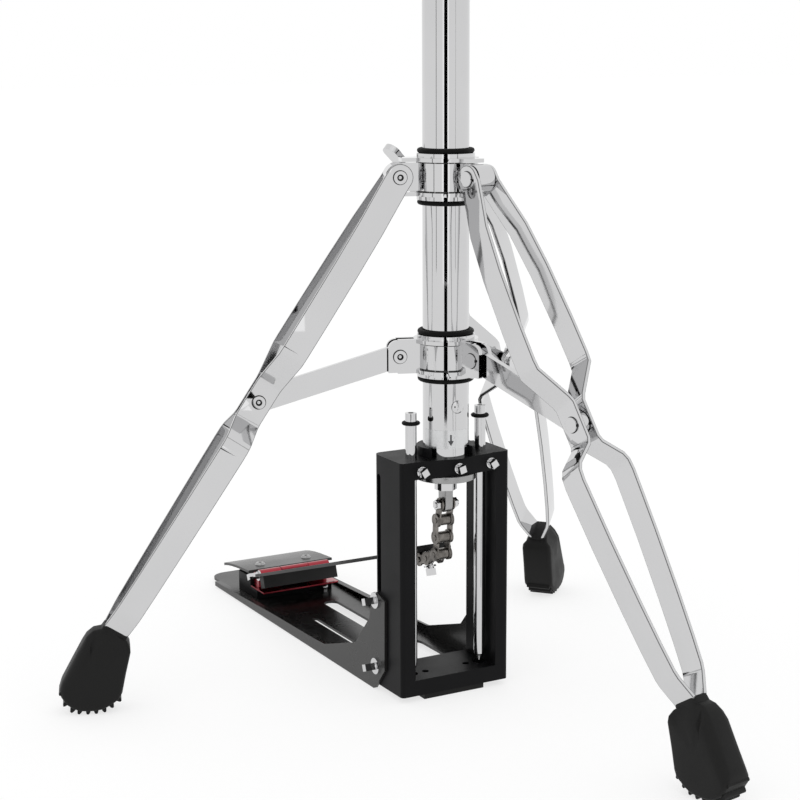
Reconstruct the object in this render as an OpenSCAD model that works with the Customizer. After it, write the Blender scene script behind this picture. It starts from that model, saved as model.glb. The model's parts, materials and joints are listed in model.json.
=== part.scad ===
// Two-rod hi-hat stand with a double-braced folding tripod, a chain-driven
// pedal in a rectangular cast frame, and a height-adjustable upper tube.
// Millimetres. The origin is on the floor under the tube; +Z is up, the heel
// of the pedal points to -Y, and the axis of the tube is the Z axis.

/* [Tubes] */
// Outside diameter of the base tube
base_tube_d = 31.75; // [31.5:0.05:32]
// Wall of the base tube
base_tube_wall = 1.6; // [1.2:0.1:1.8]
// Height of the top end of the base tube
base_tube_top = 580; // [570:5:600]
// Outside diameter of the upper tube
upper_tube_d = 25.4; // [25:0.1:25.4]
// Height of the top end of the upper tube
upper_tube_top = 812; // [800:4:830]
// Diameter of the pull rod
rod_d = 6.4; // [6:0.1:6.4]
// Height of the tip of the pull rod
rod_top = 1050; // [1030:10:1080]

/* [Tripod] */
// Angle of the first leg, counted from +X
first_leg_angle = -19.8; // [-22:0.2:-18]
// Radius of the pivots on both collars
pivot_r = 32.5; // [32:0.1:33]
// Height of the leg pivots on the sliding collar
leg_pivot_z = 361.5; // [358:0.5:364]
// Height of the brace pivots on the lower collar
brace_pivot_z = 240.3; // [239:0.1:242]
// Lean of the legs from the vertical
leg_lean = 32.85; // [32.5:0.05:33.1]
// Fall of the braces from the horizontal
brace_fall = 16.2; // [15.8:0.1:16.6]
// Distance along a leg from its top pivot to the brace joint
mid_joint_s = 177.7; // [177:0.1:178.4]
// Length of a brace between its two pivots
brace_length = 100.4; // [100:0.1:100.8]
// Width of the flat bars that make a leg
leg_bar_w = 17.8; // [17:0.1:19]
// Thickness of the leg bars
leg_bar_t = 2.6; // [2.4:0.1:2.8]
// Width of the brace bars
brace_w = 15.6; // [14:0.2:16]
// Thickness of the brace bars
brace_t = 4.4; // [4:0.1:4.4]

/* [Pedal] */
// Width of the pedal frame
frame_w = 86; // [84:0.5:88]
// Height of the pedal frame's top face
frame_top = 170.7; // [169:0.1:172]
// Width of each pillar of the pedal frame
pillar_w = 10.6; // [10:0.1:11]
// Height of the footboard's hinge axis
hinge_z = 23.5; // [23:0.1:24]
// Distance from the tube's axis back to the hinge axis
hinge_back = 247; // [245:0.5:249]
// Slope of the footboard at rest
board_slope = 18; // [17.5:0.1:18.5]
// Spacing of the two spur rods
spur_spacing = 55; // [54:0.5:55.5]
// Diameter of the spur rods
spur_d = 8; // [7.6:0.1:8]

/* [Hidden] */

$fn = 64;
eps = 0.01;       // overlap that joins two solids cleanly
run_gap = 0.05;   // radial clearance of a running fit
side_gap = 0.3;   // clearance between faces that slide past each other

// --- pedal frame ---
frame_bottom = 4.3;
frame_back = -26;
frame_front = 14.2;
frame_crown = 17.4;          // front face where it covers the tube
window_bottom = 15.6;
window_top = 158.3;
frame_corner_r = 6;
frame_edge_r = 3;            // front vertical edges
window_half = frame_w / 2 - pillar_w;
spur_x = spur_spacing / 2;
clamp_screw_z = 163.7;
clamp_flange_d = 7.4;
clamp_head_w = 4.9;
clamp_head_l = 4.3;
groove_y = -18;
groove_w = 5;
groove_depth = 2.5;
gusset_screw_y = -20;
gusset_screw_z = [18.3, 66.5];

// --- base plate ---
sheet_t = 2;
sheet_bottom = 2.3;
sheet_top = sheet_bottom + sheet_t;
plate_half = frame_w / 2 + sheet_t + 0.05;
wall_top = 9.6;
wall_bottom = 0.6;
wall_heel_top = 5;
wall_mid_top = 8.5;
plate_heel_y = -330;
wall_heel_y = -306;
sheet_front_y = -27;
hinge_y = -hinge_back;

// --- footboard, in its own frame with the hinge axis as the origin ---
board_half = 38;
board_toe_half = 19;
board_l = 238.6;
board_bottom = -1.1;
board_face = 0.9;
board_rib = 1.4;
chain_pitch = 12.7;
chain_drop = 6.03;           // chain line below the middle of the board
toe_pin_l = 239.25;          // along the board, to the pin that the toe link turns on
toe_link_tilt = 8.2;         // of the toe link above the line of the board
toe_bolt_l = 232.9;
barrel_r = 4.6;
hinge_pin_d = 5;
knuckle_half = 12.4;
hinge_half = 31;
hinge_plate_z = 11.4;
heel_block_top = 20;
heel_screw_x = 21;
heel_screw_y = -267;

// --- chain and pull rod ---
clevis_z = 134.8;
nut_z = 145.4;
nut_h = 6;
inner_plate_x = 4;
outer_plate_x = 5.2;
plate_t = 1.1;
plate_d = 9.6;
plate_waist = 6.2;
chain_pin_d = 4;
roller_d = 7.9;
chain_lean = [16.4, 4.5, 7.2]; // of each hanging link from the vertical, towards the heel
tongue_t = 6;

// --- spring inside the base tube ---
tube_screw_z = 206;
spring_bottom = 212;
spring_top = 300;
spring_turns = 11;
spring_r = 9.5;
spring_wire = 2.4;
coupler_z = 425;

// --- height clamp ---
clamp_bottom = base_tube_top - 30;
clamp_lip = base_tube_top + 4;
clamp_mid = base_tube_top - 12;
bolt_side = -80;             // direction that the wing bolts point in, from +X

// --- collars ---
tube_r = base_tube_d / 2;
collar_r = 19.7;
flange_r = 22.2;
flange_t = 2.6;
lug_half = leg_gap_inner() - side_gap;
ear_inner = brace_t / 2 + side_gap;
ear_t = 3.2;
rivet_d = 6;

// --- upper fittings ---
seat_z = 834;
tilt_screw_y = 19.2;
clutch_z = 928;

function leg_gap_inner() = 7.0;             // half of the gap between the bars at the lug
function leg_angle(i) = first_leg_angle + 120 * i;
function flip(v) = [for (k = [len(v) - 1:-1:0]) v[k]];
function unit(v) = v / norm(v);
function left_of(v) = [-v[1], v[0]];

// Normal at corner k of a path, scaled so that the strip keeps its thickness.
function corner_normal(p, k) =
    let (
        a = k == 0 ? left_of(unit(p[1] - p[0])) : left_of(unit(p[k] - p[k - 1])),
        b = k == len(p) - 1 ? a : left_of(unit(p[k + 1] - p[k])),
        m = unit(a + b)
    )
    m / (m * a);

// Outline of a strip of thickness t that is centred on a path.
function strip(p, t) = concat(
    [for (k = [0:len(p) - 1]) p[k] + corner_normal(p, k) * t / 2],
    flip([for (k = [0:len(p) - 1]) p[k] - corner_normal(p, k) * t / 2])
);

// ---------- shared shapes ----------

module pipe(d_out, d_in, z0, z1) {
    translate([0, 0, z0]) difference() {
        cylinder(d = d_out, h = z1 - z0);
        translate([0, 0, -1]) cylinder(d = d_in, h = z1 - z0 + 2);
    }
}

module rod(d, z0, z1) {
    translate([0, 0, z0]) cylinder(d = d, h = z1 - z0);
}

module rod_x(d, x0, x1) {
    translate([x0, 0, 0]) rotate([0, 90, 0]) cylinder(d = d, h = x1 - x0);
}

module rod_y(d, y0, y1) {
    translate([0, y0, 0]) rotate([-90, 0, 0]) cylinder(d = d, h = y1 - y0);
}

module o_ring(inner_r, cord, z) {
    translate([0, 0, z]) rotate_extrude() translate([inner_r + cord / 2, 0]) circle(d = cord, $fn = 24);
}

// A drum-key screw along +X: threaded shank, round flange, neck and square head.
module key_screw(shank_d, shank_l, flange_d, head_w, head_l) {
    neck_l = 2.2;
    rod_x(shank_d, -shank_l, eps);
    rod_x(flange_d, 0, 1.3);
    rod_x(head_w * 1.1, 1, neck_l + eps);
    translate([neck_l, -head_w / 2, -head_w / 2]) cube([head_l, head_w, head_w]);
}

// A wing bolt along +X: shank, hub and two wings with a rounded tip.
module wing_bolt(shank_d, shank_l, wing) {
    hub_l = 11;
    half_t = 2;
    tip_r = wing / 4.4;
    rod_x(shank_d, -shank_l, eps);
    rod_x(13, 0, hub_l);
    for (s = [0, 180]) rotate([s, 0, 0]) rotate([90, 0, 0]) translate([0, 0, -half_t])
        linear_extrude(2 * half_t) {
            polygon([
                [1, 0], [hub_l, 0], [hub_l / 2 + tip_r, wing - tip_r], [hub_l / 2 - tip_r, wing - tip_r]
            ]);
            translate([hub_l / 2, wing - tip_r]) circle(r = tip_r);
        }
}

module at_leg(i) {
    rotate([0, 0, leg_angle(i)]) children();
}

// Frame of a leg: +X runs down the leg from its top pivot, +Y is across.
module on_leg(i) {
    at_leg(i) translate([pivot_r, 0, leg_pivot_z]) rotate([0, 90 - leg_lean, 0]) children();
}

// Frame of a brace: +X runs out along the brace from its inner pivot.
module on_brace(i) {
    at_leg(i) translate([pivot_r, 0, brace_pivot_z]) rotate([0, brace_fall, 0]) children();
}

// Frame of the footboard: +Y runs up the board from the hinge axis.
module on_board() {
    translate([0, hinge_y, hinge_z]) rotate([board_slope, 0, 0]) children();
}

// ---------- pedal frame and base ----------

module frame_plan() {
    inset = frame_w / 2 - frame_corner_r;
    translate([-frame_w / 2, frame_back + frame_corner_r])
        square([frame_w, frame_front - frame_back - frame_corner_r - frame_edge_r]);
    translate([frame_edge_r - frame_w / 2, 0]) square([frame_w - 2 * frame_edge_r, frame_front]);
    translate([-inset, frame_back]) square([2 * inset, 20]);
    for (s = [-1, 1]) {
        translate([s * inset, frame_back + frame_corner_r]) circle(r = frame_corner_r);
        translate([s * (frame_w / 2 - frame_edge_r), frame_front - frame_edge_r]) circle(r = frame_edge_r);
    }
}

// Bulge of the top block's front face, an arc over a chord 60 wide.
module crown_plan() {
    rise = frame_crown - frame_front;
    arc_r = (30 * 30 + rise * rise) / (2 * rise);
    intersection() {
        translate([0, frame_crown - arc_r]) circle(r = arc_r, $fn = 256);
        translate([-30, 0]) square([60, 40]);
    }
}

module side_groove() {
    bottom = 75;
    top = 155;
    depth = groove_depth + 1;
    translate([frame_w / 2 - groove_depth, groove_y - groove_w / 2, bottom])
        cube([depth, groove_w, top - bottom]);
    for (z = [bottom, top]) translate([0, groove_y, z])
        rod_x(groove_w, frame_w / 2 - groove_depth, frame_w / 2 + 1);
}

module pedal_frame() color("DimGray") difference() {
    union() {
        translate([0, 0, frame_bottom]) linear_extrude(frame_top - frame_bottom) frame_plan();
        translate([0, 0, window_top]) linear_extrude(frame_top - window_top) crown_plan();
        difference() {
            pipe(40, base_tube_d, frame_top - eps, 177.5);
            translate([-12, 6, frame_top]) cube([29, 20, 20]);
        }
    }
    translate([-window_half, frame_back - 1, window_bottom])
        cube([2 * window_half, 60, window_top - window_bottom]);
    rod(base_tube_d, window_top - 1, frame_top + 10);
    for (s = [-1, 1]) {
        translate([s * spur_x, 0, 0]) rod(spur_d + 2 * run_gap, window_top - 1, frame_top + 10);
        translate([s * spur_x, 0, 0]) rod(spur_d + 1, 0, window_bottom + 1);
        translate([s * 16.5, 0, 0]) rod(5, frame_bottom + 4, window_bottom + 1);
        mirror([s < 0 ? 1 : 0, 0, 0]) side_groove();
        for (z = gusset_screw_z) translate([0, gusset_screw_y, z]) mirror([s < 0 ? 1 : 0, 0, 0])
            rod_x(6, frame_w / 2 - 8, frame_w / 2 + 1);
        translate([s * spur_x, 0, clamp_screw_z]) {
            rod_y(6, 0, 30);
            rod_y(clamp_flange_d + 0.8, frame_front, 30);
        }
    }
    translate([0, 0, clamp_screw_z]) rod_y(6, 0, 30);
}

// Outline of a side wall, which is low at the heel and rises into the gusset.
module gusset_outline() polygon([
    [wall_heel_y, wall_bottom + 0.8], [wall_heel_y, wall_heel_top], [-191, wall_mid_top], [-120, wall_top],
    [-101.6, wall_top + 0.8], [-52, 26], [-30, 50.6], [-25.5, 68], [-22.5, 71.6], [-18, 72.5],
    [-7, 69], [-7.7, 18], [-21.5, 1.7], [-24, wall_bottom]
]);

// A slot along Y with round ends, centred on x.
module plate_slot(x, w, y0, y1) {
    translate([x - w / 2, y0 + w / 2]) square([w, y1 - y0 - w]);
    translate([x, y0 + w / 2]) circle(d = w);
    translate([x, y1 - w / 2]) circle(d = w);
}

module sheet_plan() {
    tongue_half = 40;
    tongue_r = 13;
    difference() {
        union() {
            translate([-plate_half, wall_heel_y]) square([2 * plate_half, sheet_front_y - wall_heel_y]);
            translate([-tongue_half, plate_heel_y + tongue_r]) square([2 * tongue_half, 40]);
            translate([tongue_r - tongue_half, plate_heel_y])
                square([2 * (tongue_half - tongue_r), 40]);
            for (s = [-1, 1]) translate([s * (tongue_half - tongue_r), plate_heel_y + tongue_r])
                circle(r = tongue_r);
        }
        plate_slot(16, 4, -178, -108);
        plate_slot(-14, 12, -212, -134);
        for (s = [-1, 1]) plate_slot(s * 19, 22, -96, -44);
    }
}

module base_plate() color("SlateGray") {
    translate([0, 0, sheet_bottom]) linear_extrude(sheet_t) sheet_plan();
    for (s = [0, 1]) mirror([s, 0, 0]) {
        difference() {
            union() {
                translate([plate_half - sheet_t, 0, 0]) rotate([90, 0, 90])
                    linear_extrude(sheet_t) gusset_outline();
                translate([plate_half - 5, 0, 0]) rotate([90, 0, 90]) linear_extrude(5) polygon([
                    [wall_heel_y, wall_heel_top - 1.4], [wall_heel_y, wall_heel_top], [-191, wall_mid_top],
                    [-120, wall_top], [-120, wall_top - 1.4], [-191, wall_mid_top - 1.4]
                ]);
            }
            for (z = gusset_screw_z) translate([0, gusset_screw_y, z]) rod_x(6, 30, 60);
        }
    }
}

// Round-headed stud on the plate, beside the hinge.
module plate_stud() color("Silver") translate([-25, -240, 0]) {
    rod(3.6, sheet_top, sheet_top + 2.4);
    translate([0, 0, sheet_top + 2.8]) sphere(r = 2.4);
}

module floor_pads() color("Black") {
    translate([-24, -24, 0]) cube([48, 36, frame_bottom]);
    for (s = [-1, 1]) {
        translate([s * 26 - 11, -322, 0]) cube([22, 16, sheet_bottom]);
        translate([s * 28 - 8, -100, 0]) cube([12, 3, sheet_bottom]);
    }
}

module gusset_screws() color("Silver") for (s = [0, 1], z = gusset_screw_z)
    mirror([s, 0, 0]) translate([plate_half, gusset_screw_y, z]) rotate([20, 0, 0])
        key_screw(6, 9, 11.6, clamp_head_w, 7.4);

// Three drum-key screws in the frame's front and a pan-head screw in the tube.
module frame_screws() color("Silver") {
    for (x = [-spur_x, spur_x]) translate([x, frame_front, clamp_screw_z]) rotate([0, 0, 90])
        rotate([30, 0, 0])
            key_screw(6, frame_front - spur_d / 2 - run_gap, clamp_flange_d, clamp_head_w, clamp_head_l);
    translate([0, frame_crown, clamp_screw_z]) rotate([0, 0, 90])
        rotate([15, 0, 0]) key_screw(6, frame_crown - tube_r, clamp_flange_d, clamp_head_w, clamp_head_l);
    translate([0, 0, tube_screw_z]) {
        rod_y(4, 9, tube_r + 0.1);
        intersection() {
            rod_y(9, tube_r, tube_r + 2.6);
            translate([0, tube_r - 3.4, 0]) sphere(r = 6);
        }
    }
}

module base_tube() color("Gainsboro") difference() {
    pipe(base_tube_d, base_tube_d - 2 * base_tube_wall, window_top, base_tube_top);
    translate([0, 0, tube_screw_z]) rod_y(4, 0, 30);
}

module tube_flange() color("Silver") pipe(42, 10, 153.8, window_top);

// ---------- heel ----------

module heel_block() color("DimGray") {
    translate([-34, -282, sheet_top]) cube([68, 24, heel_block_top - sheet_top]);
    translate([-34, -258, sheet_top]) cube([68, 13, hinge_plate_z - sheet_top]);
}

heel_profile = [
    [-252.6, 26.2], [-262, 25.6], [-274, 24.8], [-285, 23.6], [-294, 22.2], [-302, 20.4], [-309, 18]
];

module heel_plate() color("SlateGray") difference() {
    union() {
        translate([-board_half, 0, 0]) rotate([90, 0, 90])
            linear_extrude(2 * board_half) polygon(strip(heel_profile, 2));
        for (s = [-1, 1]) translate([s * heel_screw_x, heel_screw_y, heel_block_top])
            cylinder(d = 10, h = 4.4);
    }
    for (s = [-1, 1]) translate([s * heel_screw_x, heel_screw_y, 0]) rod(4, sheet_top, 40);
    for (s = [0, 1]) mirror([s, 0, 0]) translate([board_half - 9, -309.5, 0]) difference() {
        translate([0, -1, 10]) cube([10, 10, 20]);
        translate([0, 9, 0]) rod(18, 5, 35);
    }
}

module heel_screws() color("Silver") for (s = [-1, 1]) translate([s * heel_screw_x, heel_screw_y, 26.6]) {
    rod(4, -6, eps);
    difference() {
        cylinder(d1 = 8.4, d2 = 6, h = 1.6);
        translate([0, 0, 0.8]) cylinder(d = 3, h = 2, $fn = 6);
    }
}

module knuckle(x0, x1) difference() {
    rod_x(2 * barrel_r, x0, x1);
    rod_x(hinge_pin_d + 2 * run_gap, x0 - 1, x1 + 1);
}

module hinge_base() color("FireBrick") {
    translate([0, hinge_y, hinge_z]) {
        knuckle(knuckle_half, hinge_half);
        knuckle(-hinge_half, -knuckle_half);
    }
    for (x = [-hinge_half, knuckle_half]) difference() {
        translate([x, -258, hinge_plate_z]) cube([hinge_half - knuckle_half, 9.5, 12.8]);
        translate([0, hinge_y, hinge_z]) rod_x(2 * barrel_r - 0.4, -50, 50);
    }
    translate([-34, -258, hinge_plate_z]) cube([68, 25, 1.4]);
}

module hinge_pin() color("Silver") translate([0, hinge_y, hinge_z]) {
    rod_x(hinge_pin_d, -hinge_half - 1, hinge_half + 1);
    translate([hinge_half, 0, 0]) rotate([25, 0, 0]) key_screw(hinge_pin_d, 1, 8.6, 4.9, 7.6);
}

// ---------- footboard ----------

module board_plan() {
    half_toe = board_toe_half;
    polygon([
        [-board_half, 8], [board_half, 8], [board_half, 165], [board_half - 3, 185],
        [half_toe + 5, 215], [half_toe, 232], [half_toe - 3, board_l],
        [3 - half_toe, board_l], [-half_toe, 232], [-half_toe - 5, 215],
        [3 - board_half, 185], [-board_half, 165]
    ]);
}

module footboard() color("Gray") on_board() difference() {
    lug_half_w = inner_plate_x - 0.3;
    lug_l = toe_pin_l - chain_pitch;
    union() {
        translate([0, 0, board_bottom]) linear_extrude(board_face - board_bottom) board_plan();
        for (y = [30:12:174]) translate([6 - board_half, y, 0]) cube([2 * board_half - 12, 3, board_rib]);
        for (x = [-board_half, board_half - 3]) translate([x, 8, 0]) cube([3, 157, board_rib]);
        translate([-12, 214, board_bottom]) cube([24, board_l - 214, 4.6]);
        translate([-33, 5, -11]) cube([66, 7, 11]);
        translate([-lug_half_w, 212, -chain_drop - 3.9])
            cube([2 * lug_half_w, lug_l - 212, chain_drop + 3.9]);
        translate([0, lug_l, -chain_drop]) rod_x(7.8, -lug_half_w, lug_half_w);
    }
    translate([0, lug_l, -chain_drop]) rod_x(chain_pin_d, -8, 8);
    translate([0, toe_bolt_l, 0]) rod(4.4, -20, 20);
    for (x = [-26:13:26], y = [40:24:160]) translate([x, y + 1.5, 0]) rod(6, -5, 5);
}

module board_hinge() color("FireBrick") on_board() {
    rotate([-board_slope, 0, 0]) knuckle(side_gap - knuckle_half, knuckle_half - side_gap);
    difference() {
        translate([side_gap - knuckle_half, 2, -2.4]) cube([2 * (knuckle_half - side_gap), 3, 4.8]);
        rod_x(2 * barrel_r - 0.4, -50, 50);
    }
}

module toe_bolt() color("Silver") on_board() translate([0, toe_bolt_l, 0]) {
    rod(4.4, -13, 3);
    rod(8.8, -12.4, -11.1);
    rod(5.4, -13.6, -12.3);
    translate([-2.6, -2.6, -18.5]) cube([5.2, 5.2, 5]);
}

// ---------- chain ----------

// One side plate of a link, from its first pin down to its second.
module link_plate(x, hole) difference() {
    union() {
        rod_x(plate_d, x, x + plate_t);
        translate([0, 0, -chain_pitch]) rod_x(plate_d, x, x + plate_t);
        translate([x, -plate_waist / 2, -chain_pitch]) cube([plate_t, plate_waist, chain_pitch]);
    }
    for (z = [0, -chain_pitch]) translate([0, 0, z]) rod_x(hole, x - 1, x + plate_t + 1);
}

module link(inner_x, hole) {
    link_plate(inner_x, hole);
    link_plate(-inner_x - plate_t, hole);
}

module chain_pin() {
    end = outer_plate_x + plate_t + 0.4;
    rod_x(chain_pin_d, -end, end);
}

// Places its children at the top pin of hanging link k, with the link along -Z.
module at_link(k) {
    if (k == 0) translate([0, 0, clevis_z]) rotate([-chain_lean[0], 0, 0]) children();
    else at_link(k - 1) translate([0, 0, -chain_pitch])
        rotate([chain_lean[k - 1] - chain_lean[k], 0, 0]) children();
}

module chain_links() color("DarkSlateGray") {
    at_link(0) link(inner_plate_x, chain_pin_d + 2 * run_gap);
    at_link(1) link(outer_plate_x, chain_pin_d);
    for (k = [1, 2]) at_link(k) {
        chain_pin();
        rod_x(roller_d, -inner_plate_x, inner_plate_x);
    }
    at_link(2) difference() {
        link(inner_plate_x, chain_pin_d);
        translate([0, 0, -chain_pitch]) rod_x(chain_pin_d + 2.6, -9, 9);
    }
}

// The link that the hanging chain pulls on, and the one that is bolted under the toe.
module chain_toe_link() color("DarkSlateGray") on_board() translate([0, toe_pin_l, -chain_drop]) {
    rotate([toe_link_tilt, 0, 0]) translate([0, chain_pitch, 0]) {
        rotate([-90, 0, 0]) link(outer_plate_x, chain_pin_d);
        chain_pin();
        rod_x(roller_d, 0.1 - inner_plate_x, inner_plate_x - 0.1);
    }
    chain_pin();
    rotate([-90, 0, 0]) link(inner_plate_x, chain_pin_d);
    translate([0, -chain_pitch, 0]) rod_x(chain_pin_d, -inner_plate_x - 2, inner_plate_x + 2);
}

module rod_tongue() color("Gainsboro") difference() {
    union() {
        translate([-tongue_t / 2, -5, clevis_z - 0.6]) cube([tongue_t, 10, nut_z - clevis_z + 0.6]);
        translate([0, 0, clevis_z - 0.6]) rod_x(10, -tongue_t / 2, tongue_t / 2);
    }
    translate([0, 0, clevis_z]) rod_x(chain_pin_d, -5, 5);
}

// The clevis bolt with its nut, and the lock nut on the rod above the tongue.
module tongue_bolt() color("Silver") {
    translate([0, 0, clevis_z]) {
        rod_x(chain_pin_d, -9.6, 9);
        for (s = [0, 1]) mirror([s, 0, 0]) translate([inner_plate_x + plate_t + 0.2, 0, 0])
            rotate([0, 90, 0]) cylinder(d = 7.4, h = 3, $fn = 6);
    }
    translate([0, 0, nut_z]) rotate([0, 0, 37]) difference() {
        cylinder(d = 15.6, h = nut_h, $fn = 6);
        translate([0, 0, -1]) cylinder(d = rod_d, h = nut_h + 2);
    }
}

module lower_pull_rod() color("Silver") rod(rod_d, nut_z, coupler_z + 10);

module rod_coupler() color("Silver") difference() {
    rod(11, coupler_z, coupler_z + 20);
    rod(rod_d, coupler_z - 1, coupler_z + 21);
}

module upper_pull_rod() color("Gainsboro") {
    rod(rod_d, coupler_z + 10, rod_top - 4);
    translate([0, 0, rod_top - 4]) cylinder(d1 = rod_d, d2 = rod_d - 3, h = 4);
}

// ---------- return spring ----------

module spring_seat() color("Ivory") difference() {
    rod(base_tube_d - 2 * base_tube_wall, 200, spring_bottom);
    rod(rod_d + 1, 199, spring_bottom + 1);
    translate([0, 0, tube_screw_z]) rod_y(4, 9, 30);
}

module spring_cap() color("Ivory") difference() {
    rod(24, spring_top, spring_top + 8);
    rod(rod_d, spring_top - 1, spring_top + 9);
}

// Round coil swept as one closed solid: a ring of points every 1/16 turn.
module return_spring() color("Silver") {
    sides = 8;
    steps = spring_turns * 16;
    rise = (spring_top - spring_bottom - spring_wire) / steps;
    points = [for (k = [0:steps], j = [0:sides - 1])
        let (a = k * 360 / 16, b = j * 360 / sides, r = spring_r + spring_wire / 2 * cos(b))
        [r * cos(a), r * sin(a), spring_bottom + spring_wire / 2 + k * rise + spring_wire / 2 * sin(b)]];
    sides_faces = [for (k = [0:steps - 1], j = [0:sides - 1])
        let (n = (j + 1) % sides)
        [k * sides + j, (k + 1) * sides + j, (k + 1) * sides + n, k * sides + n]];
    start_face = [for (j = [0:sides - 1]) j];
    end_face = [for (j = [sides - 1:-1:0]) steps * sides + j];
    polyhedron(points, concat([start_face], sides_faces, [end_face]));
}

// ---------- height clamp ----------

module height_bush() color("WhiteSmoke") difference() {
    union() {
        rod(base_tube_d - 2 * base_tube_wall, base_tube_top - 45, base_tube_top);
        rod(base_tube_d, base_tube_top, base_tube_top + 4);
    }
    rod(upper_tube_d + 2 * run_gap, base_tube_top - 50, base_tube_top + 10);
}

module height_clamp() color("Gainsboro") difference() {
    union() {
        rod(41, clamp_bottom, clamp_lip + 4);
        rod(43.5, clamp_bottom, clamp_bottom + 3);
        rod(43.5, clamp_lip + 1, clamp_lip + 4);
        rotate([0, 0, bolt_side]) translate([0, 0, clamp_mid]) rod_x(16, 0, 28);
    }
    rod(base_tube_d, clamp_bottom - 1, clamp_lip);
    rod(upper_tube_d + 1.4, clamp_bottom, clamp_lip + 5);
    rotate([0, 0, bolt_side]) translate([0, 0, clamp_mid]) rod_x(8 + 2 * run_gap, 0, 40);
}

module clamp_wing_bolt() color("Silver") rotate([0, 0, bolt_side]) translate([32, 0, clamp_mid])
    rotate([-50, 0, 0]) wing_bolt(8, 32 - tube_r - 0.1, 28);

// ---------- collars ----------

// Collar with two flange plates, whose three arms run out along the legs.
module collar_body(z_mid, half_h, arm_l, arm_in, arm_out) {
    rod(2 * collar_r, z_mid - half_h, z_mid + half_h);
    for (z = [z_mid + half_h - 5.4, z_mid - half_h + 2.8]) {
        rod(2 * flange_r, z, z + flange_t);
        for (i = [0:2], s = [0, 1]) at_leg(i) mirror([0, s, 0])
            translate([0, arm_in, z]) cube([arm_l, arm_out - arm_in, flange_t]);
    }
}

module upper_collar() color("Gainsboro") difference() {
    union() {
        collar_body(leg_pivot_z, 15.5, 31, -eps, lug_half);
        for (i = [0:2]) at_leg(i) {
            translate([16.5, -3.8, leg_pivot_z - 9.4]) cube([pivot_r - 16.5, 7.6, 18.8]);
            translate([pivot_r, 0, leg_pivot_z]) rod_y(18.8, -lug_half, lug_half);
        }
        rotate([0, 0, bolt_side]) translate([0, 0, leg_pivot_z]) rod_x(17, 0, 28);
    }
    rod(base_tube_d + 2 * run_gap, leg_pivot_z - 30, leg_pivot_z + 30);
    for (i = [0:2]) at_leg(i) translate([pivot_r, 0, leg_pivot_z])
        rod_y(rivet_d + 2 * run_gap, -20, 20);
    rotate([0, 0, bolt_side]) translate([0, 0, leg_pivot_z]) rod_x(8 + 2 * run_gap, 0, 40);
}

module upper_o_rings() color("Black") for (z = [leg_pivot_z - 17.2, leg_pivot_z + 17.2])
    o_ring(tube_r + run_gap, 3.4, z);

module collar_wing_bolt() color("Silver") rotate([0, 0, bolt_side]) translate([32, 0, leg_pivot_z])
    rotate([-47, 0, 0]) wing_bolt(8, 32 - tube_r - 0.1, 28);

module lower_collar() color("Gainsboro") difference() {
    union() {
        collar_body(brace_pivot_z, 14.5, 34, ear_inner, ear_inner + ear_t);
        for (i = [0:2], s = [0, 1]) at_leg(i) mirror([0, s, 0]) intersection() {
            translate([16.5, ear_inner, brace_pivot_z - 11]) cube([24, ear_t, 22]);
            translate([0, 0, brace_pivot_z]) union() {
                translate([16, 0, -11]) cube([18.5, 20, 22]);
                translate([16, 0, -11]) cube([24.5, 20, 16]);
                translate([34.5, 0, 5]) rod_y(12, 0, 20);
            }
        }
    }
    rod(base_tube_d + 2 * run_gap, brace_pivot_z - 30, brace_pivot_z + 30);
    for (i = [0:2]) at_leg(i) translate([pivot_r, 0, brace_pivot_z]) rod_y(rivet_d, -20, 20);
}

module lower_o_rings() color("Black") for (z = [brace_pivot_z - 16.2, brace_pivot_z + 16.2])
    o_ring(tube_r + run_gap, 3.4, z);

// ---------- legs ----------

// Middle line of one leg bar: [distance down the leg, distance to the side].
leg_line = [
    [-9.5, 8.4], [6, 8.4], [20, 12.0], [39, 17.2], [70, 20.8], [110, 22.8], [134, 23.2], [140, 22.6],
    [161, 6.2], [165, 4.2], [190, 4.2], [194, 6.0], [204.5, 19.1], [209, 21.5], [216, 22.1],
    [256, 20.1], [298, 17], [326, 14.4], [344, 12.2], [349, 10.8], [363, 4.4], [368, 3.1], [396, 2.9]
];

module leg_bar() difference() {
    intersection() {
        translate([0, 0, -leg_bar_w / 2]) linear_extrude(leg_bar_w) polygon(strip(leg_line, leg_bar_t));
        union() {
            rod_y(leg_bar_w, -40, 40);
            translate([0, -40, -leg_bar_w / 2]) cube([420, 80, leg_bar_w]);
        }
    }
    rod_y(rivet_d, -40, 40);
    translate([mid_joint_s, 0, 0]) rod_y(rivet_d, -40, 40);
}

module leg_bars(i) color("Gainsboro") on_leg(i) {
    leg_bar();
    mirror([0, 1, 0]) leg_bar();
}

// The hollow end of a rivet, rolled over a face at distance y.
module rolled_end(y) difference() {
    union() {
        rod_y(rivet_d, y - 2 - eps, y + eps);
        rod_y(8.8, y, y + 1.4);
    }
    rod_y(4.4, y - 1, y + 2);
}

// Top rivet through the lug, and the two short rivets of the brace joint.
module leg_rivets(i) color("Silver") on_leg(i) {
    top_face = 8.4 + leg_bar_t / 2;
    mid_inner = 4.2 - leg_bar_t / 2;
    mid_face = 4.2 + leg_bar_t / 2;
    rod_y(rivet_d, -top_face - eps, top_face + eps - 2);
    rolled_end(top_face);
    rod_y(10, -top_face - 1.3, -top_face);
    translate([mid_joint_s, 0, 0]) {
        rod_y(rivet_d, mid_inner, mid_face + eps - 1);
        rolled_end(mid_face);
        rod_y(rivet_d, -mid_face - eps, -mid_inner);
        rod_y(10, -mid_face - 1.3, -mid_face);
    }
}

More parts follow.
